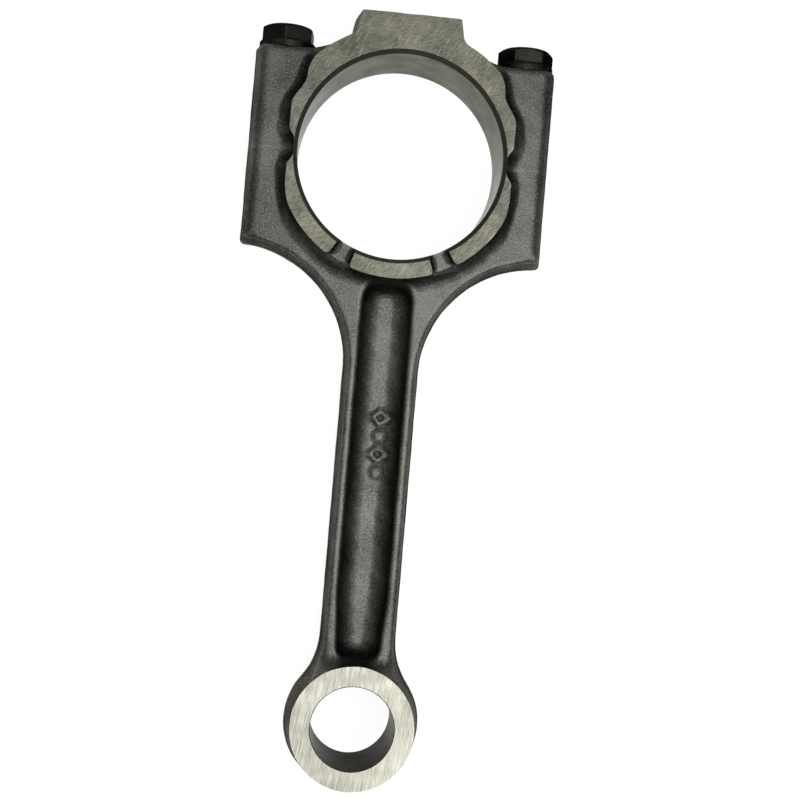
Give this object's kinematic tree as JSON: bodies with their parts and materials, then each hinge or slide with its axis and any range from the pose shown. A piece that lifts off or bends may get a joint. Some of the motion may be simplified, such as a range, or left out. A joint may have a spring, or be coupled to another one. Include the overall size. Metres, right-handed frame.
{
  "type": "connecting rod",
  "caption": "Forged I-beam connecting rod with a fracture-split bolted cap, joining a piston pin to a crankpin in a small engine.",
  "frame": {"origin": "centre of the big-end bore, at the middle of its width", "axes": "+Z along the bores, towards one machined face; +Y from the small end to the cap; +X across the rod"},
  "size_m": [0.0808, 0.2066, 0.026],
  "materials": {
    "forged_steel": "shot-blasted dark forging skin, with ground thrust faces and bored housings",
    "black_oxide_steel": "black oxide, lightly oiled"
  },
  "bodies": {
    "rod": {"rod_forging": "forged_steel"},
    "cap": {"bearing_cap": "forged_steel"},
    "left_bolt": {"left_cap_bolt": "black_oxide_steel"},
    "right_bolt": {"right_cap_bolt": "black_oxide_steel"}
  },
  "joints": [
    {"name": "cap_off", "type": "slide", "parent": "rod", "child": "cap", "axis": [0, 1, 0], "range_m": [0, 0.05]},
    {"name": "left_bolt_out", "type": "slide", "parent": "cap", "child": "left_bolt", "axis": [0, 1, 0], "range_m": [0, 0.05]},
    {"name": "right_bolt_out", "type": "slide", "parent": "cap", "child": "right_bolt", "axis": [0, 1, 0], "range_m": [0, 0.05]}
  ]
}
